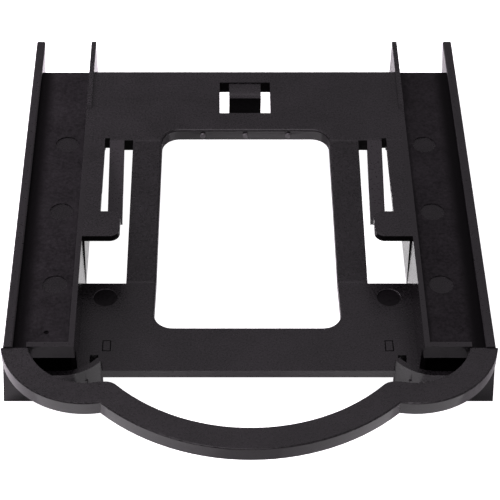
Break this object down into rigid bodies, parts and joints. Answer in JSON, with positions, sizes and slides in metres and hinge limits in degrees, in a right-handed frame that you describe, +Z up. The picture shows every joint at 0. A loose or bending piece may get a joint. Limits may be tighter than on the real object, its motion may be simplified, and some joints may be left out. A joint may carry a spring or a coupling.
{
  "type": "drive bay adapter bracket",
  "caption": "Moulded tray bracket that carries a small drive in a larger bay, with hollow side rails, sloping bars round a window and a looped handle.",
  "frame": {"origin": "middle of the bounding box at the table", "axes": "+X to the right, +Y from the handle to the open back ends of the rails, +Z up"},
  "size_m": [0.1016, 0.124, 0.0172],
  "materials": {
    "bracket": "fine matte grain"
  },
  "bodies": {
    "root": {"bracket": "bracket"}
  },
  "joints": []
}
